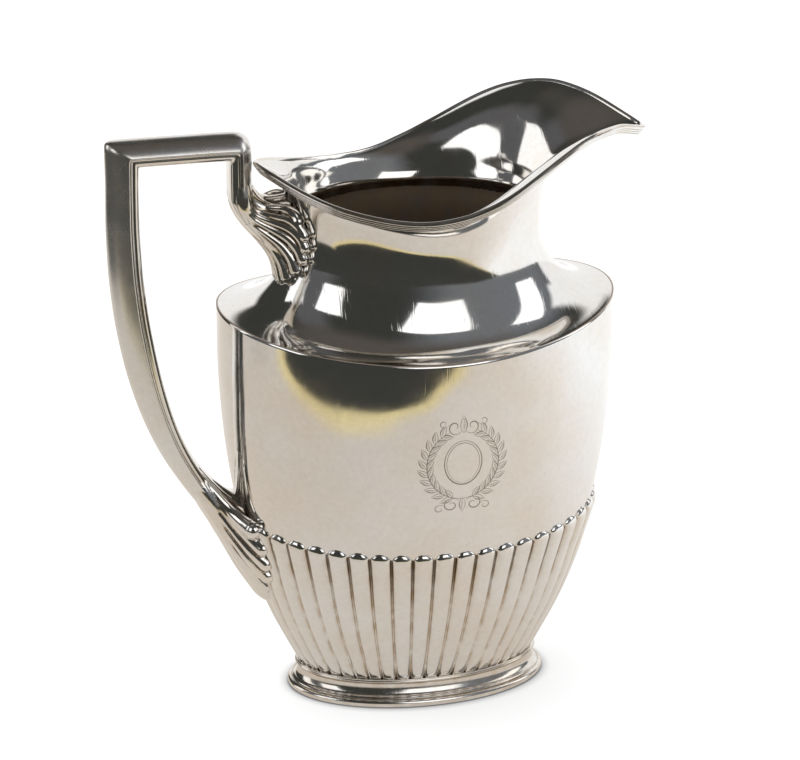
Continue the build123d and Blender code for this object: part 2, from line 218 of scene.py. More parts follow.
def silver(name, tint, roughness, tarnish, scratch, wear_scale=1.0, metallic=1.0):
    """Polished sterling: warm tarnish in the hollows, black in the deepest, partly painted shade; cloudy
    smudges, hairline scratches.
    """
    material = bpy.data.materials.new(name)
    add, join, ranged, maths, blended, layered = blank_nodes(material)
    out = add("ShaderNodeOutputMaterial")
    shader = add("ShaderNodeBsdfPrincipled", Metallic=metallic)
    join(shader.outputs[0], out.inputs[0])
    place = add("ShaderNodeTexCoord").outputs["Object"]
    recess = add("ShaderNodeAttribute", attribute_name="recess").outputs["Fac"]

    def pattern(kind, **settings):
        node = add(kind, **settings)
        join(place, node.inputs["Vector"])
        return node.outputs["Distance" if kind == "ShaderNodeTexVoronoi" else 0]

    # broad clouds of colour, and the warm film that stays in the hollows
    cloud = pattern("ShaderNodeTexNoise", Scale=28.0 * wear_scale, Detail=6.0, Roughness=0.62)
    streak = pattern("ShaderNodeTexNoise", Scale=160.0, Detail=4.0)
    warm = opaque([part * share for part, share in zip(tint, WARM_FILM)])
    colour = blended(opaque(tint), warm, maths("MULTIPLY", ranged(cloud, 0.42, 0.72), tarnish))
    colour = blended(colour, opaque(GOLDEN_FILM), maths("MULTIPLY", recess, ranged(streak, 0.30, 0.62)))
    # the deepest recesses turn black: black tarnish, and painted shade where the recess is set for shade
    # (under the throat, the valleys at the foot)
    colour = blended(colour, opaque(BLACK_TARNISH_AND_SHADE), ranged(recess, GRIME_AND_SHADE_START, 1.0, 0.0, 0.85))

    # fine mottling and a few darker specks, as on silver that has been wiped but not buffed
    mottle = pattern("ShaderNodeTexNoise", Scale=420.0, Detail=5.0, Roughness=0.7)
    speck = pattern("ShaderNodeTexVoronoi", Scale=230.0, Randomness=1.0)
    shade = maths("MULTIPLY", ranged(mottle, 0.35, 0.66, 0.945), ranged(speck, 0.03, 0.11, 0.89))
    join(blended(colour, shade, 1.0, "MULTIPLY"), shader.inputs["Base Color"])

    # smudges and polishing haze in the roughness
    haze = pattern("ShaderNodeTexNoise", Scale=55.0 * wear_scale, Detail=8.0, Roughness=0.7)
    smudged = ranged(haze, 0.35, 0.75, roughness - 0.02, roughness + 0.045)
    join(maths("MULTIPLY_ADD", recess, 0.16, smudged), shader.inputs["Roughness"])

    # hairline scratches: thin bands of stretched noise in crossing directions
    height = 0.0
    for turn, stretch in ((0.35, 1.0), (1.9, 1.4), (-0.6, 0.8)):
        spin = add("ShaderNodeMapping", Rotation=(turn * 0.7, turn, turn * 1.3),
                   Scale=(900.0 * stretch, 24.0, 60.0))
        join(place, spin.inputs["Vector"])
        hair = add("ShaderNodeTexNoise", Scale=1.0, Detail=2.0)
        join(spin.outputs[0], hair.inputs["Vector"])
        height = maths("MAXIMUM", height, ranged(hair.outputs[0], 0.62, 0.78))
    bump = add("ShaderNodeBump", invert=True, Strength=scratch, Distance=HAIRLINE)
    join(height, bump.inputs["Height"])
    join(bump.outputs[0], shader.inputs["Normal"])
    return material


sheet_silver = silver("silver_sheet_polished", (0.87, 0.86, 0.845), 0.075, 0.8, 0.5)
cut_silver = silver("silver_engraved_cuts", (0.36, 0.33, 0.30), 0.30, 1.0, 0.3)
drawn_silver = silver("silver_drawn_worn", (0.86, 0.85, 0.835), 0.25, 0.7, 0.6, 1.3)
wire_silver = silver("silver_wire_polished", (0.86, 0.845, 0.82), 0.11, 0.8, 0.5, 1.6)
cast_silver = silver("silver_cast_polished", (0.86, 0.84, 0.81), 0.12, 0.8, 0.5, 1.8)
# the inside: its dark brown colour is painted shade, its higher roughness the duller finish inside
inside_shaded_silver = silver("silver_inside_painted_shade", (0.40, 0.33, 0.275), 0.36, 1.0, 0.4, 1.0, 0.7)


# --------------------------------- fluted body
body_a = soft_curve(BODY_Z, BODY_A, 5.0)
body_ratio = soft_curve(RATIO_Z, RATIO_V, 9.0)


def ridge_height(x):
    return RIDGE_LOW + RIDGE_RISE * (x / RIDGE_A) ** 2


def equal_arcs(count):
    """Ellipse parameters at equal steps round the shoulder of the flutes."""
    t = np.linspace(0.0, 2 * math.pi, 8001)
    a = body_a(70.0)
    b = a * body_ratio(70.0)
    middle = (t[1:] + t[:-1]) / 2
    run = np.concatenate([[0.0], np.cumsum(np.hypot(a * np.sin(middle), b * np.cos(middle)))])
    return np.interp(np.arange(count) / count, run / run[-1], t)


ACROSS = 20                       # mesh columns over each flute
FLUTE_ROWS, HEAD_ROWS, WALL_ROWS, INSIDE_ROWS = 44, 17, 90, 60
FLOOR_Z = 13.0                    # height of the inside's floor
INSIDE_FILM = 0.35
BEAD_LOW, BEAD_RISE = 72.9, 4.2   # height of the flute heads: lowest at the sides
HEAD_ABOVE, HEAD_BELOW = 2.3, 1.9
crest_depth = soft_curve((11.0, 15.0, 24.0, 40.0, 60.0, 73.0, 80.0),
                         (0.5, 0.1, 0.0, -0.2, -0.8, -1.9, -2.1), 2.0)
valley_depth = soft_curve((11.0, 24.0, 40.0, 60.0, 73.0, 80.0), (1.5, 1.8, 1.9, 1.5, 0.9, 0.8), 3.0)


def body_point(t, z, depth):
    a = body_a(z)
    b = a * body_ratio(z)
    x, y = np.broadcast_arrays((a - depth) * np.cos(t), (b - depth) * np.sin(t))
    return np.stack([x, y, np.broadcast_to(z, x.shape)], axis=-1)


def build_body():
    """The raised vessel: flutes up to their heads, plain wall above, and the inside with its floor."""
    columns = FLUTES * ACROSS
    t = equal_arcs(columns)
    side = 2.0 * (np.arange(columns) % ACROSS) / ACROSS - 1.0      # -1 and 1 in the valleys
    x_head = body_a(BEAD_LOW) * np.cos(t)
    bead = BEAD_LOW + BEAD_RISE * (x_head / body_a(BEAD_LOW)) ** 2
    lobe = (1 - np.abs(side) ** 3.0) ** 0.62
    valley = np.clip(2.2 * np.abs(side) ** 8, 0, 1)
    start = bead - HEAD_BELOW * (1.04 - np.abs(side) ** 2.4)
    head = bead + HEAD_ABOVE * (1.04 - np.abs(side) ** 2.4)
    ridge = ridge_height(RIDGE_A * np.cos(t))
    heights, depths, hollow = [], [], []

    def flute_depth(z):
        return crest_depth(z) * lobe + valley_depth(z) * (1 - lobe)

    for s in np.linspace(0.0, 1.0, FLUTE_ROWS)[:-1]:
        z = FOOT_HEIGHT + (start - FOOT_HEIGHT) * s
        heights.append(z)
        depths.append(flute_depth(z))
        # the valleys darken towards the flute heads and the foot; at the foot this is painted shade
        valley_tarnish_and_shade = 0.64 + 0.36 * smooth_step(0.45, 1.0, s) + 0.3 * smooth_step(0.10, 0.0, s)
        ends = smooth_step(0.55, 1.0, s) + smooth_step(0.30, 0.0, s)
        flank = (0.10 + 0.34 * ends) * np.abs(side) ** 2.5
        hollow.append(np.maximum(flank, valley_tarnish_and_shade * valley))
    for q in np.sin(np.linspace(0.0, math.pi / 2, HEAD_ROWS)):
        z = start + (head - start) * q
        heights.append(z)
        depths.append(flute_depth(z) * (1 - q ** 1.6) ** 0.6)
        hollow.append(valley * (1 - q))
    for s in np.linspace(0.0, 1.0, WALL_ROWS)[1:] ** 1.35:
        heights.append(head + (ridge - head) * s)
        depths.append(np.zeros(columns))
        hollow.append(np.zeros(columns))
    outer = handwork(body_point(t, np.array(heights), np.array(depths)))
    inner_rows = []
    for s in np.linspace(1.0, 0.0, INSIDE_ROWS):
        z = FLOOR_Z + (ridge - FLOOR_Z) * s
        skin = WALL + 2.0 * np.clip((84.0 - z) / 16.0, 0.0, 1.0)
        inner_rows.append(body_point(t, z, skin))
    lowest = inner_rows[-1]
    inner_rows += [lowest * np.array([share, share, 1.0]) for share in (0.9, 0.6, 0.25, 0.02)]
    under_rows = [outer[0] * np.array([share, share, 1.0]) for share in (0.02, 0.5, 0.93)]
    rows = np.concatenate([np.array(under_rows), outer, np.array(inner_rows)])
    count = len(rows)
    faces = grid_faces(count, columns)
    outside = len(under_rows) + len(outer)
    face_material = np.where(np.arange((count - 1) * columns) // columns < outside - 1, 0, 1)
    recess = np.zeros((count, columns))
    recess[len(under_rows):outside] = np.array(hollow)
    recess[outside:] = INSIDE_FILM
    last = (count - 1) * columns
    faces.append([last + i for i in range(columns)])
    faces.append(list(reversed(range(columns))))
    face_material = np.concatenate([face_material, [1, 0]])
    add_mesh("fluted_body", rows.reshape(-1, 3), faces, "body_shell", "silver_sheet",
             [sheet_silver, inside_shaded_silver], face_material, recess)


build_body()


# --------------------------------- engraved ornament, without letters
ORNAMENT_X, ORNAMENT_Z = 5.8, 114.3


def swell(count, thin, thick):
    """Widths of a cut that starts fine, swells and ends fine."""
    return thin + (thick - thin) * np.sin(np.linspace(0, math.pi, count)) ** 1.5


def curve_stroke(cx, cz, rx, rz, first, last, thin, thick, shrink=1.0):
    """A cut along part of an oval or, when it shrinks, a scroll. Angles in degrees."""
    count = max(12, int(abs(last - first) / 5))
    turns = np.radians(np.linspace(first, last, count))
    size = np.linspace(1.0, shrink, count)
    line = np.stack([cx + rx * size * np.cos(turns), cz + rz * size * np.sin(turns)], axis=-1)
    return line, swell(count, thin, thick)


def leaf_strokes(base, angle, length, width):
    """A laurel leaf: two bowed edges, a midrib and a few shading cuts on its lower half."""
    along = np.array([math.cos(angle), math.sin(angle)])
    across = np.array([-along[1], along[0]])
    s = np.linspace(0.0, 1.0, 14)
    bow = width / 2 * np.sin(math.pi * s ** 0.85)
    strokes = []
    for way, thick in ((1.0, 0.20), (-1.0, 0.34)):
        line = base + np.outer(s * length, along) + np.outer(way * bow, across)
        strokes.append((line, swell(14, 0.08, thick)))
    strokes.append((base + np.outer(s * 0.85 * length, along), swell(14, 0.06, 0.14)))
    for at in (0.25, 0.4, 0.55, 0.7):
        start = base + along * length * at
        tip = start + along * length * 0.14 - across * width * 0.36 * math.sin(math.pi * at)
        strokes.append((start + np.outer(np.linspace(0, 1, 5), tip - start), swell(5, 0.05, 0.12)))
    return strokes


def ornament_strokes():
    """A blank oval cartouche in a laurel wreath with scrolls, as wide and tall as the old engraving."""
    strokes = [curve_stroke(0, 0.5, 7.4, 9.2, 95, 455, 0.16, 0.46),
               curve_stroke(0, 0.5, 6.5, 8.3, -85, 275, 0.08, 0.22)]
    for way in (-1.0, 1.0):
        side = []
        side.append(curve_stroke(0, 0, 14.2, 14.8, -97, 66, 0.14, 0.36))
        for angle in np.arange(-74.0, 66.0, 14.0):
            a = math.radians(angle)
            base = np.array([14.2 * math.cos(a), 14.8 * math.sin(a)])
            heading_up = a + math.pi / 2
            side += leaf_strokes(base, heading_up - 0.62, 5.4, 2.1)
            side += leaf_strokes(base, heading_up + 0.66, 4.8, 1.9)
        side.append(curve_stroke(4.4, -17.4, 3.5, 3.2, 150, -330, 0.10, 0.40, 0.22))
        side.append(curve_stroke(9.0, -18.8, 2.4, 2.0, 170, -240, 0.08, 0.28, 0.25))
        side.append(curve_stroke(3.5, 15.6, 3.1, 3.4, 205, 600, 0.10, 0.38, 0.22))
        side.append(curve_stroke(7.8, 17.4, 2.1, 1.9, 200, 560, 0.08, 0.26, 0.25))
        for line, width in side:
            strokes.append((line * np.array([way, 1.0]), width))
    strokes += leaf_strokes(np.array([0.0, 13.0]), math.pi / 2, 7.2, 2.6)
    strokes += leaf_strokes(np.array([0.0, -14.6]), -math.pi / 2, 6.0, 2.4)
    return strokes


def build_ornament():
    """Every cut is a hair-thin ridged ribbon that follows the wall."""
    points, faces = [], []
    for line, width in ornament_strokes():
        side = np.gradient(line, axis=0)
        side = unit(np.stack([-side[:, 1], side[:, 0]], axis=-1))
        start = len(points)
        for k in range(len(line)):
            for share, proud in ((-0.5, 0.008), (0.0, 0.030), (0.5, 0.008)):
                x, z = line[k] + side[k] * width[k] * share * 1.25
                x, z = x + ORNAMENT_X, z + ORNAMENT_Z
                place = body_point(-math.acos(x / float(body_a(z))), z, 0.0)
                place = handwork(place)
                out = np.array([place[0] / RIDGE_A ** 2, place[1] / RIDGE_B ** 2, 0.0])
                points.append(place + out / np.linalg.norm(out) * proud)
        for k in range(len(line) - 1):
            for c in (start + 3 * k, start + 3 * k + 1):
                faces.append((c, c + 1, c + 4, c + 3))
    add_mesh("engraved_ornament", np.array(points), faces, None, "silver_sheet", [cut_silver])


build_ornament()

# --------------------------------- shoulder, neck and lip
NECK_COLUMNS, NECK_ROWS = 720, 150
EDGE_ROWS, RIDGE_EDGE = 7, 0.7    # rows over the rounded ridge, and its radius
THROAT_Z = 198.4                  # a soft ridge runs level round the inside where the flare begins
# the size of that ridge, and the painted shade under it
THROAT_RIDGE, THROAT_WIDTH, THROAT_SHADE = 1.1, 3.4, 0.88
heading = np.arange(NECK_COLUMNS) * 2 * math.pi / NECK_COLUMNS
fold = np.abs((np.degrees(heading) + 180.0) % 360.0 - 180.0)       # 0 at the lip, 180 at the handle
rim_radius = soft_curve(RIM_ANGLE, RIM_RADIUS, 3.0, "mirror")(fold)
rim_height = soft_curve(RIM_ANGLE, RIM_HEIGHT, 3.0, "mirror")(fold)
front = soften(np.clip(np.cos(heading), 0.0, 1.0) ** 2, 14.0, "wrap")


def oval(a, b, angle):
    return a * b / np.hypot(b * np.cos(angle), a * np.sin(angle))


def outline_rows():
    """Radius and height of the outside, one row per step from below the ridge up to the rim."""
    ridge_r = oval(RIDGE_A, RIDGE_B, heading)
    ridge_z = ridge_height(ridge_r * np.cos(heading))
    waist_r = oval(WAIST_A, WAIST_B, heading)
    edge = RIDGE_EDGE
    rows = []
    for k in range(EDGE_ROWS):
        turn = k / (EDGE_ROWS - 1) * math.pi / 2
        rows.append((ridge_r - edge * (1 - math.cos(turn)), ridge_z - edge * (1 - math.sin(turn))))
    for s in np.linspace(0.0, 1.0, 60)[1:]:
        swing = s * math.pi / 2
        across = math.sin(swing) ** 1.04
        along = 1 - math.cos(swing) ** 0.92
        r = ridge_r - edge + (waist_r - ridge_r + edge) * across
        rows.append((r, ridge_z + (WAIST_Z - ridge_z) * along))
    power = 2.0 + 0.9 * front ** 8
    last = np.radians(84 - 6 * front)
    for s in np.linspace(0.0, 1.0, 70)[1:] ** 1.25:
        across = (1 - np.cos(s * last) ** (2 / power)) / (1 - np.cos(last) ** (2 / power))
        along = np.sin(s * last) ** (2 / power) / np.sin(last) ** (2 / power)
        rows.append((waist_r + (rim_radius - waist_r) * across, WAIST_Z + (rim_height - WAIST_Z) * along))
    return np.array([r for r, z in rows]), np.array([z for r, z in rows])


def even_rows(r, z, keep, count, sigma):
    """Resamples the rows after the first few at even steps and rounds the joins between curves."""
    steps = np.hypot(np.diff(r[keep:], axis=0), np.diff(z[keep:], axis=0))
    run = np.concatenate([np.zeros((1, r.shape[1])), np.cumsum(steps, axis=0)])
    new_r, new_z = [], []
    share = np.linspace(0.0, 1.0, count)
    for j in range(r.shape[1]):
        new_r.append(np.interp(share * run[-1, j], run[:, j], r[keep:, j]))
        new_z.append(np.interp(share * run[-1, j], run[:, j], z[keep:, j]))
    new_r, new_z = np.array(new_r).T, np.array(new_z).T
    new_r, new_z = soften(new_r, sigma), soften(new_z, sigma)
    return np.concatenate([r[:keep], new_r]), np.concatenate([z[:keep], new_z])


def to_points(r, z):
    return np.stack([r * np.cos(heading), r * np.sin(heading), z], axis=-1)


def inward(r, z, skin):
    """The rows moved square to themselves, towards the axis, by the thickness of the metal."""
    dr, dz = np.gradient(r, axis=0), np.gradient(z, axis=0)
    size = np.hypot(dr, dz) + 1e-9
    return r - skin * dz / size, z + skin * dr / size


neck_r, neck_z = outline_rows()
neck_r, neck_z = even_rows(neck_r, neck_z, EDGE_ROWS, NECK_ROWS, 3.0)


def build_neck():
    """Shoulder, neck and lip in one sheet. Inside, painted shade darkens the metal just under the throat's
    ridge, and lower down the dark inside material takes over.
    """
    low_r, low_z = inward(neck_r[EDGE_ROWS:], neck_z[EDGE_ROWS:], LIP_SKIN)
    low_r = low_r - THROAT_RIDGE * np.exp(-((low_z - THROAT_Z) / THROAT_WIDTH) ** 2)
    outside = handwork(to_points(neck_r, neck_z))
    inside = to_points(low_r, low_z)[::-1]
    foot = to_points(neck_r[0] - WALL, neck_z[0])[None]
    low_edge = handwork(to_points(neck_r[0], neck_z[0]))[None]
    rows = np.concatenate([foot, low_edge, outside, inside])
    first = 2 + len(outside)
    recess = np.zeros(rows.shape[:2])
    # painted shade inside, below the throat's ridge: the recess turns the metal black there, and lower
    # down the faces take the dark inside material
    recess[first:] = THROAT_SHADE * smooth_step(THROAT_Z + 0.6, THROAT_Z - 1.2, inside[:, :, 2])
    shade = np.zeros(recess.shape, int)
    shade[first:] = inside[:, :, 2] < THROAT_Z - 3.5
    faces = grid_faces(len(rows), NECK_COLUMNS, True, True)
    add_mesh("shoulder_and_lip", rows.reshape(-1, 3), faces, "shoulder_neck", "silver_sheet",
             [sheet_silver, inside_shaded_silver], shade.ravel(), recess)


build_neck()


# --------------------------------- reeded wire round the rim
def closed_sweep(centre, out, up, profile):
    """Points of a closed profile carried round a closed line; rows go round the line."""
    across = np.array([p[0] for p in profile])
    along = np.array([p[1] for p in profile])
    return (centre[:, None, :] + across[None, :, None] * out[:, None, :]
            + along[None, :, None] * up[:, None, :])


def arc(cx, cy, radius, first, last, count):
    """Points on part of a circle, angles in degrees."""
    turns = np.radians(np.linspace(first, last, count))
    return [(cx + radius * math.cos(a), cy + radius * math.sin(a)) for a in turns]


CREASE_FILM = 0.9
RIM_STEP = 2                      # the wire takes every second heading of the neck
RIM_UPRIGHT = 0.9                 # how far the wire's face turns upright from the flare's slope
RIM_FACE = 0.75                   # how far the wire stands out
RIM_REEDS = ((0.78, 0.62, 85, -58), (-0.32, 0.45, 62, -62),    # height, radius, first and last angle
             (-1.32, 0.45, 62, -62), (-2.22, 0.38, 62, -100))


def build_rim():
    """Four reeds under one another, with a dark crease between them and a rounded top edge."""
    line = to_points(rim_radius, rim_height)[::RIM_STEP]
    towards = unit(np.roll(line, -1, axis=0) - np.roll(line, 1, axis=0))
    slope_r = soften(neck_r[-1] - neck_r[-6], 14.0, "wrap")[::RIM_STEP]
    slope_z = soften(neck_z[-1] - neck_z[-6], 14.0, "wrap")[::RIM_STEP]
    angle = heading[::RIM_STEP]
    rise = unit(np.stack([slope_r * np.cos(angle), slope_r * np.sin(angle), slope_z], axis=-1))
    rise = unit(rise + np.array([0.0, 0.0, RIM_UPRIGHT]))
    out = unit(np.cross(towards, rise))
    up = np.cross(out, towards)
    profile = arc(-0.65, 0.55, 0.85, 185, 95, 6)
    film = [0.0] * 6
    for middle, radius, first, last in RIM_REEDS:
        profile += arc(RIM_FACE - radius, middle, radius, first, last, 11)
        film += [CREASE_FILM] + [0.0] * 9 + [CREASE_FILM]
    profile += [(-0.2, -2.55), (-0.6, -2.4), (-0.9, -2.0), (-1.35, -1.2), (-1.5, -0.6)]
    film += [0.0] * 5
    rows = closed_sweep(line, out, up, profile)
    rows = np.swapaxes(rows, 0, 1)[::-1]
    recess = np.repeat(np.array(film)[::-1, None], rows.shape[1], axis=1)
    faces = grid_faces(*rows.shape[:2], True, True)
    add_mesh("rim_wire", rows.reshape(-1, 3), faces, "rim_moulding", "silver_wire",
             [wire_silver], None, recess)


build_rim()

# --------------------------------- moulded foot
FOOT_COLUMNS = 480
FOOT_FILM = 0.26


def build_foot():
    """Section of the foot as (inset from the widest oval, height, film), turned round the oval."""
    section = [(5.6, 0.0, FOOT_FILM), (1.6, 0.0, FOOT_FILM)]
    for a in np.radians(np.linspace(-85, 80, 16)):
        section.append((1.45 - 1.45 * math.cos(a), 1.5 + 1.5 * math.sin(a), FOOT_FILM))
    section += [(1.75, 3.05, CREASE_FILM), (2.0, 3.1, FOOT_FILM), (2.15, 3.3, 0.5), (2.3, 3.55, FOOT_FILM)]
    for a in np.radians(np.linspace(12, 86, 16)):
        section.append((2.5 + 2.6 * math.sin(a), 8.6 - 4.9 * math.cos(a), FOOT_FILM))
    section[-1] = (*section[-1][:2], CREASE_FILM)
    section += [(4.95, 8.75, FOOT_FILM), (4.55, 8.8, CREASE_FILM), (4.3, 8.95, FOOT_FILM),
                (4.25, 9.15, 0.7), (4.4, 9.3, FOOT_FILM), (3.6, 9.45, FOOT_FILM), (3.25, 9.6, CREASE_FILM)]
    section += [(inset, z, FOOT_FILM) for inset, z in (
        (3.1, 9.9), (3.2, 10.2), (3.5, 10.35), (3.3, 10.55), (3.3, 10.8), (3.6, 11.0), (7.5, 11.0),
        (7.4, 8.0), (6.6, 3.5), (5.9, 0.6))]
    turns = np.linspace(0.0, 2 * math.pi, FOOT_COLUMNS + 1)[:-1]
    rows = np.array([np.stack([(FOOT_A - inset) * np.cos(turns), (FOOT_B - inset) * np.sin(turns),
                               np.full(FOOT_COLUMNS, z)], axis=-1) for inset, z, film in section])
    recess = np.repeat([film for inset, z, film in section], FOOT_COLUMNS)
    faces = grid_faces(len(rows), FOOT_COLUMNS, True, True)
    add_mesh("foot_moulding", rows.reshape(-1, 3), faces, "foot_ring", "silver_wire",
             [wire_silver], None, recess)


build_foot()

# --------------------------------- handle
HALF = 8.5                        # half the width of the handle, in mm
# the grip's seam line (x, z), then how far the channel stands out of it and the strip in
GRIP = ((-77.8, 77.0, 3.2, 1.0), (-79.8, 80.8, 5.0, 2.2), (-82.0, 84.6, 6.0, 3.0),
        (-86.6, 92.2, 6.2, 3.0), (-91.4, 100.4, 6.6, 3.0), (-95.9, 109.3, 7.1, 3.2),
        (-99.9, 120.1, 7.7, 3.4), (-103.1, 131.0, 8.3, 3.7), (-106.0, 143.6, 8.8, 3.9),
        (-109.2, 162.0, 9.0, 4.0), (-111.2, 181.0, 8.9, 4.0), (-112.0, 200.0, 8.6, 4.0),
        (-111.9, 217.0, 8.3, 4.0))
SEAM_LEFT = (-111.7, 229.1)
SEAM_RIGHT = (-68.8, 229.0)
BAR_DEPTH, BAR_STRIP = 5.2, 4.5
LEG_DEPTH, LEG_STRIP = 4.8, 4.3
LEG_END = 208.5
GRIP_START, GRIP_TOP, GRIP_STATIONS = 78.0, 217.0, 64
CORNER_ROUND = 1.2


def handle_stations():
    """Seam point, outward vector of the channel and of the strip, from the body to the leg's end."""
    zs = np.array([row[1] for row in GRIP])
    seam = soft_curve(zs, [row[0] for row in GRIP], 4.0)
    outer = soft_curve(zs, [row[2] for row in GRIP], 5.0)
    inner = soft_curve(zs, [row[3] for row in GRIP], 5.0)
    stations = []
    for z in np.linspace(GRIP_START, GRIP_TOP, GRIP_STATIONS):
        slope = (seam(z + 0.7) - seam(z - 0.7)) / 1.4
        normal = np.array([-1.0, slope]) / math.hypot(1.0, slope)
        stations.append((seam(z), z, *(normal * outer(z)), *(-normal * inner(z))))
    stations.append((SEAM_LEFT[0], SEAM_LEFT[1], -8.6, BAR_DEPTH, 4.0, -BAR_STRIP))
    for x in (-100.0, -88.0, -78.0):
        stations.append((x, 229.15, 0.0, BAR_DEPTH, 0.0, -BAR_STRIP))
    for degrees, depth in ((0, BAR_DEPTH), (22, 5.6), (45, 5.8), (68, 5.3), (90, LEG_DEPTH)):
        turn = math.radians(degrees)
        x = SEAM_RIGHT[0] - CORNER_ROUND * (1 - math.sin(turn))
        z = SEAM_RIGHT[1] - CORNER_ROUND * (1 - math.cos(turn))
        stations.append((x, z, depth * math.sin(turn), depth * math.cos(turn), -LEG_STRIP, -BAR_STRIP))
    stations.append((SEAM_RIGHT[0], LEG_END - 1.0, LEG_DEPTH, 0.0, -LEG_STRIP, 0.0))
    stations.append((-68.2, 204.0, 3.4, 0.8, -3.2, -0.8))
    stations.append((-66.4, 199.6, 1.8, 1.0, -1.6, -0.9))
    return np.array(stations)


def crown_outline():
    """Half width and rise of the crowned channel: a round arc from one seam edge over to the other."""
    edge = math.radians(58.0)
    points = []
    for a in np.linspace(edge, -edge, 41):
        rise = (math.cos(a) - math.cos(edge)) / (1 - math.cos(edge))
        points.append((HALF * math.sin(a) / math.sin(edge), rise))
    return points


def strip_outline():
    """Stepped moulding under the seam: a fillet, a small groove, then a rounded face to the hand."""
    half = [(7.9, 0.0), (7.9, 0.14), (7.75, 0.20), (7.35, 0.22), (7.15, 0.28), (7.3, 0.36), (7.35, 0.46),
            (7.2, 0.60), (6.8, 0.76), (6.1, 0.90), (5.0, 0.975), (3.4, 1.0), (1.2, 1.0)]
    return half + [(-w, d) for w, d in reversed(half)]


def sweep_handle(stations, outline, first, spacing, sigma):
    """Carries an outline along the handle. first is the column of the outward vector."""
    centre = stations[:, :2]
    way = centre + 0.5 * stations[:, 2:4]
    run = np.concatenate([[0.0], np.cumsum(np.linalg.norm(np.diff(way, axis=0), axis=1))])
    steps = np.arange(0.0, run[-1], spacing)
    line = [np.interp(steps, run, stations[:, i]) for i in range(6)]
    x, z, vx, vz = line[0], line[1], line[first], line[first + 1]
    across = np.array([p[0] for p in outline])
    rise = np.array([p[1] for p in outline])
    points = np.stack([x[:, None] + rise * vx[:, None], np.broadcast_to(across, (len(x), len(across))),
                       z[:, None] + rise * vz[:, None]], axis=-1)
    return soften(points, sigma / spacing)


def capped_tube(rows):
    """Faces of a tube of closed rows with flat ends."""
    count, columns = rows.shape[:2]
    faces = grid_faces(count, columns)
    faces.append(list(reversed(range(columns))))
    faces.append([(count - 1) * columns + i for i in range(columns)])
    return faces


def build_handle():
    """The crowned channel and the moulded strip that closes it, along one line."""
    stations = handle_stations()
    channel = sweep_handle(stations, crown_outline(), 2, 0.4, 1.6)
    strip = sweep_handle(stations, strip_outline(), 4, 0.4, 0.7)
    for name, rows, node, slot, material in (
            ("handle_channel", channel, "handle_outer", "silver_sheet", drawn_silver),
            ("handle_strip", strip[:, ::-1], "handle_inner", "silver_wire", wire_silver)):
        add_mesh(name, rows.reshape(-1, 3), capped_tube(rows), node, slot, [material])


build_handle()


# --------------------------------- cast sprays of reeds
def bend(points, s):
    """Point on a Bezier curve with any number of control points."""
    level = [np.array(p, float) for p in points]
    while len(level) > 1:
        level = [a * (1 - s) + b * s for a, b in zip(level, level[1:])]
    return level[0]


def reed(points, widths):
    """A round reed along a curve, widths from start to tip."""
    steps = np.linspace(0.0, 1.0, 26)
    centre = np.array([bend(points, s) for s in steps])
    return tube_along(centre, np.interp(steps, np.linspace(0, 1, len(widths)), widths))


GROOVE_DEPTH = 0.09               # mm below the surroundings for the darkest film
AROUND_PASSES, SUNK_PASSES = 14, 7
REED_SINK = 0.10                  # share of the trunk's radius that the reeds are sunk in at the leg


def cluster(name, tubes, voxel, smooth, clamp, node):
    """Fuses the reeds into one casting and seats it on the vessel."""
    points, faces = [], []
    base = 0
    for rows in tubes:
        faces += [[base + i for i in face] for face in capped_tube(rows)]
        points.append(rows.reshape(-1, 3))
        base += rows.shape[0] * rows.shape[1]
    raw = bpy.data.meshes.new(name + "_raw")
    raw.from_pydata((np.concatenate(points) * MM).tolist(), [], faces)
    rough = bpy.data.objects.new(name + "_raw", raw)
    bpy.context.scene.collection.objects.link(rough)
    fuse = rough.modifiers.new("fuse", "REMESH")
    fuse.mode = "VOXEL"
    fuse.voxel_size = voxel * MM
    relax = rough.modifiers.new("relax", "SMOOTH")
    relax.factor = 0.5
    relax.iterations = smooth
    depsgraph = bpy.context.evaluated_depsgraph_get()
    mesh = bpy.data.meshes.new_from_object(rough.evaluated_get(depsgraph))
    bpy.data.objects.remove(rough)
    co = np.zeros(len(mesh.vertices) * 3, np.float32)
    mesh.vertices.foreach_get("co", co)
    co = clamp(co.reshape(-1, 3).astype(float) / MM)
    polygons = [list(p.vertices) for p in mesh.polygons]
    recess = grooves(mesh, co)
    bpy.data.meshes.remove(mesh)
    add_mesh(name, co, polygons, node, "silver_cast", [cast_silver], None, recess)


def grooves(mesh, co):
    """How deep each vertex lies below its surroundings, 0 to 1: where the dark film stays."""
    ends = np.zeros(len(mesh.edges) * 2, np.int32)
    mesh.edges.foreach_get("vertices", ends)
    ends = ends.reshape(-1, 2)
    outward = np.zeros(len(co) * 3, np.float32)
    mesh.vertices.foreach_get("normal", outward)
    outward = outward.reshape(-1, 3)
    links = np.bincount(ends.ravel(), minlength=len(co))[:, None] + 1.0

    def averaged(values, passes, links):
        for _ in range(passes):
            total = values.copy()
            np.add.at(total, ends[:, 0], values[ends[:, 1]])
            np.add.at(total, ends[:, 1], values[ends[:, 0]])
            values = total / links
        return values

    around = averaged(co, AROUND_PASSES, links)
    sunk = averaged(np.sum((around - co) * outward, axis=1), SUNK_PASSES, links[:, 0])
    return np.clip(sunk / GROOVE_DEPTH, 0.0, 1.0)


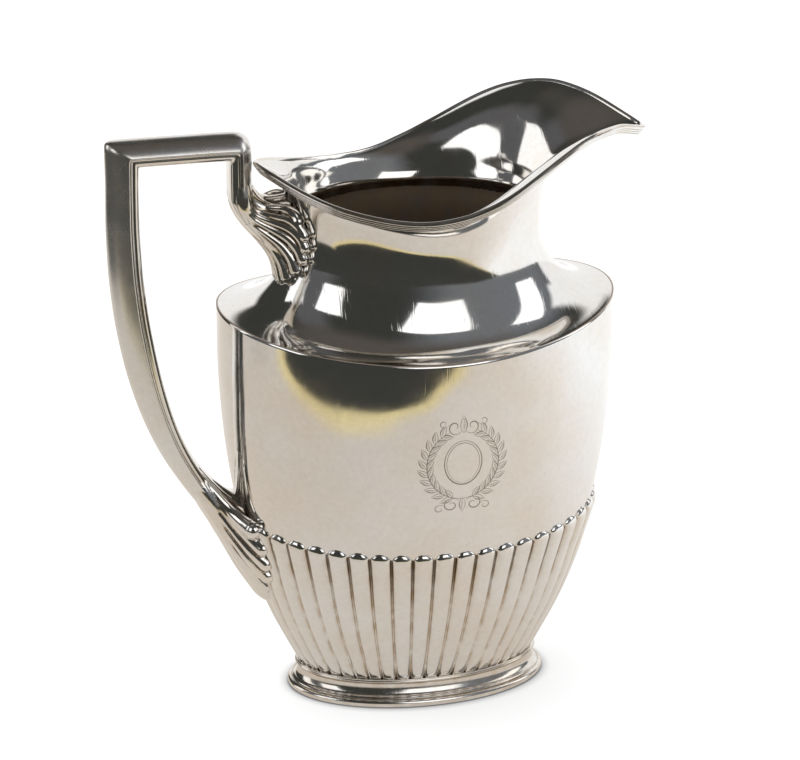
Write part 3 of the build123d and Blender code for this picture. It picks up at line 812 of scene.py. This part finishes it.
def trunk_surface(trunk, s, turn):
    """Point on the fan's trunk: an oval tube; turn 0 faces out and down, 90 the side, 180 the vessel."""
    x, z, wide, deep = (curve(s) for curve in trunk)
    dx, dz = (trunk[0](s + 0.01) - trunk[0](s - 0.01)), (trunk[1](s + 0.01) - trunk[1](s - 0.01))
    size = math.hypot(dx, dz)
    out_x, out_z = dz / size, -dx / size
    a = math.radians(turn)
    return np.array([x + deep * math.cos(a) * out_x, -wide * math.sin(a), z + deep * math.cos(a) * out_z])


def make_trunk(stations):
    """Centre x, centre z, half width and half depth of the trunk as smooth curves of 0 to 1."""
    at = [row[0] for row in stations]
    return [soft_curve(at, [row[i] for row in stations], 0.05) for i in (1, 2, 3, 4)]


def tube_along(centre, radius, flat=1.0):
    """A round or flattened tube through given centres, with rounded ends."""
    towards = unit(np.gradient(centre, axis=0))
    side = unit(np.cross(towards, np.array([0.13, 0.0, 1.0])))
    other = np.cross(towards, side)
    caps = np.radians((10, 35, 60))
    rows = [centre[0] - towards[0] * math.cos(a) * radius[0] * flat for a in caps]
    rows += list(centre)
    rows += [centre[-1] + towards[-1] * math.cos(a) * radius[-1] * flat for a in reversed(caps)]
    sizes = [radius[0] * math.sin(a) for a in caps] + list(radius)
    sizes += [radius[-1] * math.sin(a) for a in reversed(caps)]
    side = np.concatenate([side[:1].repeat(3, 0), side, side[-1:].repeat(3, 0)])
    other = np.concatenate([other[:1].repeat(3, 0), other, other[-1:].repeat(3, 0)])
    turns = np.linspace(0, 2 * math.pi, 25)[:-1]
    ring = (np.cos(turns)[None, :, None] * side[:, None, :]
            + flat * np.sin(turns)[None, :, None] * other[:, None, :])
    return np.array(rows)[:, None, :] + ring * np.array(sizes)[:, None, None]


def fan(stations, tips):
    """Reeds that grow out of a trunk and spread to their tips, with the trunk itself, both sides."""
    trunk = make_trunk(stations)
    steps = np.linspace(0.0, 1.0, 41)
    tubes = []
    for turn, tip, thin, thick, growth in tips:
        last = trunk_surface(trunk, 1.0, turn)
        centre, radius = [], []
        for s in steps:
            thickness = thin + (thick - thin) * s ** growth
            share = (1 - REED_SINK) + REED_SINK * smooth_step(0.35, 1.0, s)
            point = trunk_surface(trunk, s, turn)
            axis = np.array([trunk[0](s), 0.0, trunk[1](s)])
            point = axis + (point - axis) * share
            centre.append(point + (np.array(tip) - last) * s ** 2)
            radius.append(thickness)
        centre, radius = np.array(centre), np.array(radius)
        tubes.append(tube_along(centre, radius))
        tubes.append(tube_along(centre * np.array([1.0, -1.0, 1.0]), radius))
    x, z, wide, depth = (curve(steps) for curve in trunk)
    spine = np.stack([x, 0.0 * x, z], axis=-1)
    for share in (-0.6, -0.3, 0.0, 0.3, 0.6):
        rest = np.sqrt(1 - share ** 2)
        row = spine + np.outer(wide * share, (0.0, 1.0, 0.0))
        tubes.append(tube_along(row, depth * rest * 0.97))
    return tubes


UPPER_TRUNK = (
    # share of the way, centre x, centre z, half width, half depth
    (0.0, -68.6, 215.0, 7.6, 4.0), (0.12, -68.5, 210.0, 8.8, 4.9), (0.22, -68.0, 205.6, 8.8, 4.9),
    (0.4, -65.0, 199.8, 8.2, 4.0), (0.6, -59.8, 194.2, 8.6, 3.9), (0.8, -54.0, 187.6, 10.0, 4.2),
    (0.93, -50.4, 180.0, 11.0, 4.2), (1.0, -50.0, 175.0, 11.0, 4.0))
UPPER_TIPS = (
    # place round the trunk, tip, thickness at the leg and at the tip, how late it grows
    (13.0, (-53.6, -2.6, 174.8), 0.7, 2.5, 2.2), (38.0, (-52.4, -8.0, 177.2), 0.7, 2.6, 2.2),
    (62.0, (-49.5, -12.2, 181.4), 0.7, 2.7, 2.2), (84.0, (-47.2, -14.4, 186.4), 0.7, 2.6, 2.2),
    (104.0, (-46.4, -15.2, 191.2), 0.7, 2.3, 2.2), (124.0, (-46.8, -14.8, 195.8), 0.7, 2.3, 2.2),
    (146.0, (-48.6, -12.4, 201.0), 0.7, 2.5, 2.2))
UPPER_FILL = (
    # points of a curve, then its radii
    (((-67.6, 0.0, 211.0), (-65.0, 0.0, 204.0), (-58.0, 0.0, 200.0), (-46.0, 0.0, 197.0)),
     (4.6, 5.2, 8.0)),
    (((-66.6, 0.0, 211.5), (-64.6, 0.0, 205.0), (-58.0, 0.0, 203.0), (-48.0, 0.0, 204.4)),
     (3.4, 3.2, 4.4)),
    (((-66.6, -3.4, 210.5), (-64.0, -3.4, 205.0), (-58.0, -5.0, 202.0), (-48.0, -7.0, 201.5)),
     (3.4, 3.2, 3.4)),
    (((-66.6, 3.4, 210.5), (-64.0, 3.4, 205.0), (-58.0, 5.0, 202.0), (-48.0, 7.0, 201.5)),
     (3.4, 3.2, 3.4)))
LOWER_TRUNK = (
    (0.0, -88.4, 96.5, 6.6, 3.3), (0.12, -85.8, 90.8, 7.8, 4.9), (0.22, -83.2, 86.0, 8.2, 5.7),
    (0.4, -78.2, 77.6, 9.2, 6.0), (0.6, -72.8, 68.0, 11.4, 6.6), (0.8, -67.0, 57.6, 12.8, 7.2),
    (1.0, -61.0, 46.5, 12.0, 6.2))
LOWER_TIPS = (
    (13.0, (-63.6, -4.0, 46.4), 0.8, 3.2, 2.2), (38.0, (-62.6, -10.6, 49.6), 0.8, 3.2, 2.2),
    (60.0, (-62.8, -16.2, 56.2), 0.8, 3.2, 2.2), (80.0, (-63.8, -18.6, 62.6), 0.8, 3.2, 2.2),
    (100.0, (-65.4, -19.6, 69.6), 0.8, 3.1, 2.2), (124.0, (-68.4, -17.6, 76.8), 0.6, 3.6, 0.55))
LOWER_FILL = (
    (((-84.6, 0.0, 90.0), (-81.0, 0.0, 84.0), (-76.0, 0.0, 76.0), (-66.0, 0.0, 70.0)),
     (4.4, 7.5, 13.0)),
    (((-84.0, -3.0, 90.0), (-80.0, -3.0, 84.0), (-76.0, -5.0, 78.0), (-63.0, -7.0, 73.0)),
     (3.6, 5.0, 7.0)),
    (((-84.0, 3.0, 90.0), (-80.0, 3.0, 84.0), (-76.0, 5.0, 78.0), (-63.0, 7.0, 73.0)),
     (3.6, 5.0, 7.0)))


def all_reeds(trunk, tips, fill):
    return fan(trunk, tips) + [reed(points, widths) for points, widths in fill]


def outside_radius(points):
    """Radius of the neck's outside at each point's heading and height."""
    angle = np.arctan2(points[:, 1], points[:, 0]) % (2 * math.pi)
    column = (angle / (2 * math.pi) * NECK_COLUMNS).astype(int) % NECK_COLUMNS
    found = np.zeros(len(points))
    for i, j in enumerate(column):
        found[i] = np.interp(points[i, 2], neck_z[EDGE_ROWS:, j], neck_r[EDGE_ROWS:, j])
    return found


def pushed_out(points, reach):
    """Points inside the vessel, where reach is under 1, moved out to its surface."""
    points[:, :2] *= np.where(reach < 1.0, 1.0 / np.maximum(reach, 1e-6), 1.0)[:, None]
    return points


def seat_on_neck(points):
    return pushed_out(points, np.hypot(points[:, 0], points[:, 1]) / (outside_radius(points) - 0.5))


def seat_on_body(points):
    x, y, z = points.T
    return pushed_out(points, np.hypot(x / (body_a(z) - 2.6), y / (body_a(z) * body_ratio(z) - 2.6)))


cluster("upper_spray", all_reeds(UPPER_TRUNK, UPPER_TIPS, UPPER_FILL), 0.32, 7, seat_on_neck,
        "upper_terminal")
cluster("lower_spray", all_reeds(LOWER_TRUNK, LOWER_TIPS, LOWER_FILL), 0.36, 8, seat_on_body,
        "lower_terminal")

# --------------------------------- stage, light and camera
PAPER_EDGE, PAPER_SLANT = 0.386, 0.5           # where the paper ends in front of the pitcher, in metres
PAPER_SIDE, PAPER_SIDE_SLANT = 0.10, 0.55      # its left part runs further forward
PAPER_LEFT = 0.485                             # and all of it stops here on the left
PAPER_RAMP = (-0.28, 0.42)                     # over this stretch the paper's mirror image is painted lighter to the right, as the light falls on it
PAPER_SHADES = ((0.0, (0.375, 0.345, 0.310)), (0.5, (0.458, 0.425, 0.386)),
                (0.78, (0.560, 0.545, 0.528)), (1.0, (0.630, 0.636, 0.640)))
TAPE, TAPE_BAND = (0.47, 0.40, 0.215), (0.018, 0.050)
DARK_ROOM = (0.043, 0.044, 0.040)
WHITE_PAPER = (0.82, 0.82, 0.82)
CONTACT_SHADE, CONTACT_REACH = (0.16, 0.16, 0.165), 0.012


def floor_paper():
    """White paper with a painted contact shadow. Its mirror image in the metal is a painted reflection:
    greyer to the left, as the light falls, glowing, and ending at taped edges.
    """
    material = bpy.data.materials.new("floor_paper")
    add, join, ranged, maths, blended, layered = blank_nodes(material)
    out = add("ShaderNodeOutputMaterial")

    # the paper itself: lit and evenly bright, with a painted contact shadow, a dark glow mixed in by
    # ambient occlusion where something stands close over it
    lit = add("ShaderNodeBsdfDiffuse", Color=opaque(WHITE_PAPER))
    bright = add("ShaderNodeEmission", Strength=1.06)
    plain = layered(0.62, lit.outputs[0], bright.outputs[0])
    nearby = add("ShaderNodeAmbientOcclusion", Distance=CONTACT_REACH)
    painted_contact_shadow = add("ShaderNodeEmission", Color=opaque(CONTACT_SHADE))
    paper_with_painted_shadow = layered(ranged(nearby.outputs["AO"], 0.36, 0.90), painted_contact_shadow.outputs[0], plain)

    # its mirror image, a painted reflection: shades lighter to the right as the light falls, a glow, the
    # tape, and the dark room beyond the edges
    split = add("ShaderNodeSeparateXYZ")
    join(add("ShaderNodeNewGeometry").outputs["Position"], split.inputs[0])

    def slanted(fx, fy, shift):
        """fx * x + fy * y + shift."""
        first = maths("MULTIPLY_ADD", split.outputs[0], fx, shift)
        return maths("MULTIPLY_ADD", split.outputs[1], fy, first)

    ramp = add("ShaderNodeValToRGB")
    for at, colour in PAPER_SHADES[1:-1]:
        ramp.color_ramp.elements.new(at)
    for element, (at, colour) in zip(ramp.color_ramp.elements, PAPER_SHADES):
        element.position = at
        element.color = opaque(colour)
    join(ranged(slanted(1.0, 0.7, 0.0), *PAPER_RAMP), ramp.inputs[0])
    edge = maths("MAXIMUM", slanted(PAPER_SLANT, 1.0, PAPER_EDGE),
                 slanted(-PAPER_SIDE_SLANT, 1.0, -PAPER_SIDE))
    taped = blended(opaque(TAPE), ramp.outputs[0], ranged(edge, *TAPE_BAND))
    seen = add("ShaderNodeBsdfDiffuse")
    join(taped, seen.inputs["Color"])
    glow = add("ShaderNodeEmission", Strength=1.76)
    join(taped, glow.inputs["Color"])
    even = layered(0.7, seen.outputs[0], glow.outputs[0])
    dark = add("ShaderNodeEmission", Color=opaque(DARK_ROOM))
    outline = maths("MINIMUM", edge, slanted(1.0, 0.0, PAPER_LEFT))
    mirrored = layered(ranged(outline, -0.004, 0.004), dark.outputs[0], even)

    path = add("ShaderNodeLightPath")
    join(layered(path.outputs["Is Glossy Ray"], paper_with_painted_shadow, mirrored), out.inputs[0])
    return material


def build_floor():
    rings, sides = (0.2, 0.5, 1.0, 2.0, 4.0), 64
    turns = np.linspace(0, 2 * math.pi, sides + 1)[:-1]
    points = [(0.0, 0.0, 0.0)]
    for r in rings:
        points += [(r * math.cos(a), r * math.sin(a), 0.0) for a in turns]
    faces = [(0, 1 + i, 1 + (i + 1) % sides) for i in range(sides)]
    for k in range(len(rings) - 1):
        base = 1 + sides * k
        for i in range(sides):
            j = (i + 1) % sides
            faces.append((base + i, base + sides + i, base + sides + j, base + j))
    mesh = bpy.data.meshes.new("studio_floor")
    mesh.from_pydata(points, [], faces)
    floor = bpy.data.objects.new("studio_floor", mesh)
    bpy.context.scene.collection.objects.link(floor)
    mesh.materials.append(floor_paper())


build_floor()

AZIMUTH, ELEVATION = -12.94, 22.77
DISTANCE, LENS = 1.600, 183.24    # metres, and mm on a 36 mm sensor
TARGET = Vector((0.0, 0.0, 0.110))
AIM_LEFT, AIM_UP = 0.00609, 0.01556


def view_axes(azimuth, elevation):
    """Unit vectors towards something at this bearing, to its right and up, as seen from the front."""
    a, e = math.radians(azimuth), math.radians(elevation)
    back = Vector((math.sin(a) * math.cos(e), -math.cos(a) * math.cos(e), math.sin(e)))
    right = Vector((math.cos(a), math.sin(a), 0.0))
    return back, right, back.cross(right)


def build_camera():
    back, right, up = view_axes(AZIMUTH, ELEVATION)
    data = bpy.data.cameras.new("camera")
    camera = bpy.data.objects.new("camera", data)
    bpy.context.scene.collection.objects.link(camera)
    data.lens = LENS
    data.sensor_width = 36.0
    data.clip_start, data.clip_end = 0.05, 50.0
    camera.location = TARGET + back * DISTANCE
    aim = TARGET - right * AIM_LEFT + up * AIM_UP
    camera.rotation_mode = "QUATERNION"
    camera.rotation_quaternion = (aim - camera.location).to_track_quat("-Z", "Y")
    bpy.context.scene.camera = camera


build_camera()


# colours of the dim room and its white wall, then the softboxes: azimuth and elevation in degrees,
# half width and half height as tangents, and strength
DIM_RIGHT, DIM_LEFT, CEILING = (0.175, 0.185, 0.20), (0.11, 0.11, 0.115), (0.095, 0.085, 0.075)
WHITE_WALL = (0.95, 0.945, 0.94)
SOFTBOXES = ((14, 29.5, 0.268, 0.335, 1.5), (81, 30, 0.175, 0.404, 1.5),
             (-65, 26, 0.20, 0.306, 1.3), (-112, 17, 0.21, 0.42, 1.2))


def build_world():
    """The studio as the metal sees it: a dim room, softboxes and a white wall behind."""
    world = bpy.data.worlds.new("studio")
    bpy.context.scene.world = world
    add, join, ranged, maths, blended, layered = blank_nodes(world)
    out = add("ShaderNodeOutputWorld")
    place = add("ShaderNodeTexCoord").outputs["Generated"]
    split = add("ShaderNodeSeparateXYZ")
    join(place, split.inputs[0])
    bearing = maths("ARCTAN2", split.outputs[0], maths("MULTIPLY", split.outputs[1], -1.0))
    height = maths("ARCSINE", split.outputs[2])

    def eased(value, start, end):
        return ranged(value, start, end, ease="SMOOTHSTEP")

    def over(base, mask, colour, strength=1.0):
        return blended(base, opaque([part * strength for part in colour]), mask)

    def softbox(azimuth, elevation, half_width, half_height, soft=0.012):
        """Mask of a flat rectangular lamp that faces the pitcher; halves are tangents."""
        parts = []
        for axis in view_axes(azimuth, elevation):
            dot = add("ShaderNodeVectorMath", operation="DOT_PRODUCT")
            join(place, dot.inputs[0])
            dot.inputs[1].default_value = axis
            parts.append(dot.outputs["Value"])
        ahead, right, up = parts
        mask = eased(ahead, 0.02, 0.04)
        for part, half in ((right, half_width), (up, half_height)):
            size = maths("ABSOLUTE", maths("DIVIDE", part, ahead))
            mask = maths("MULTIPLY", mask, eased(size, half + soft, half - soft))
        return mask

    def sector(middle, half, low, high, soft):
        """Mask of part of the horizon, in degrees."""
        middle, half, low, high, soft = (math.radians(a) for a in (middle, half, low, high, soft))
        turn = maths("WRAP", maths("SUBTRACT", bearing, middle), math.pi, -math.pi)
        mask = eased(maths("ABSOLUTE", turn), half + soft, half - soft)
        mask = maths("MULTIPLY", mask, eased(height, low - soft, low + soft))
        return maths("MULTIPLY", mask, eased(height, high + soft, high - soft))

    base = add("ShaderNodeRGB")
    base.outputs[0].default_value = opaque(DARK_ROOM)
    colour = over(base.outputs[0], sector(62, 52, -90, 90, 22), DIM_RIGHT)
    colour = over(colour, sector(-88, 22, -90, 70, 12), DIM_LEFT)
    colour = over(colour, eased(height, math.radians(52), math.radians(80)), CEILING)
    colour = over(colour, sector(153, 42, -20, 31, 3.0), WHITE_WALL, 1.04)
    colour = over(colour, sector(131, 27, 20, 43, 3.0), WHITE_WALL, 1.04)
    for azimuth, elevation, half_width, half_height, strength in SOFTBOXES:
        mask = softbox(azimuth, elevation, half_width, half_height)
        colour = over(colour, mask, (1.0, 1.0, 1.0), strength)
    room = add("ShaderNodeBackground")
    join(colour, room.inputs["Color"])
    paper = add("ShaderNodeBackground", Color=opaque((1.0, 1.0, 1.0)))
    path = add("ShaderNodeLightPath")
    join(layered(path.outputs["Is Camera Ray"], room.outputs[0], paper.outputs[0]), out.inputs[0])


def build_light():
    """One very soft overhead light for the paper; the metal only sees the studio round it."""
    data = bpy.data.lights.new("overhead", "SUN")
    data.energy = 4.4
    data.angle = math.radians(100)
    lamp = bpy.data.objects.new("overhead", data)
    bpy.context.scene.collection.objects.link(lamp)
    lamp.rotation_euler = (math.radians(-8), math.radians(-14), 0.0)
    lamp.visible_glossy = False


build_world()
build_light()
bpy.context.scene.view_settings.view_transform = "Standard"
